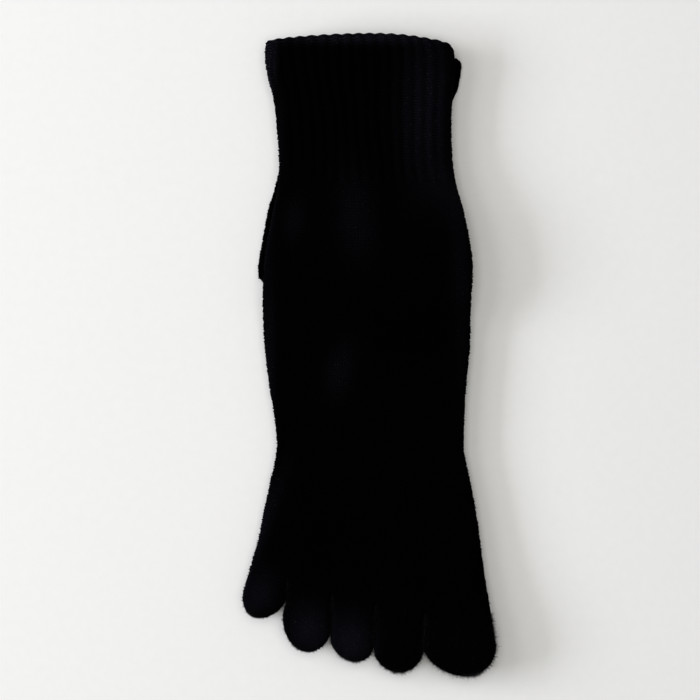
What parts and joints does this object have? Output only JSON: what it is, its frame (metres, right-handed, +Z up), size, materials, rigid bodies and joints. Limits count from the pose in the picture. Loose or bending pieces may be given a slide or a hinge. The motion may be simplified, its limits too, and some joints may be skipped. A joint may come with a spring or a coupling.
{
  "type": "pair of toe socks",
  "caption": "Knitted crew-height toe socks with ribbed cuffs, laid flat one on the other with the toes spread.",
  "frame": {"origin": "on the surface the pair lies on, under the middle of its bounding box", "axes": "+X across the socks towards the big toes, +Y along them towards the cuffs, +Z up"},
  "size_m": [0.1204, 0.3078, 0.0162],
  "materials": {
    "knit": "matte black cotton knit"
  },
  "bodies": {
    "root": {"lower_sock": "knit", "lower_heel": "knit", "upper_heel": "knit", "upper_sock": "knit"}
  },
  "joints": []
}
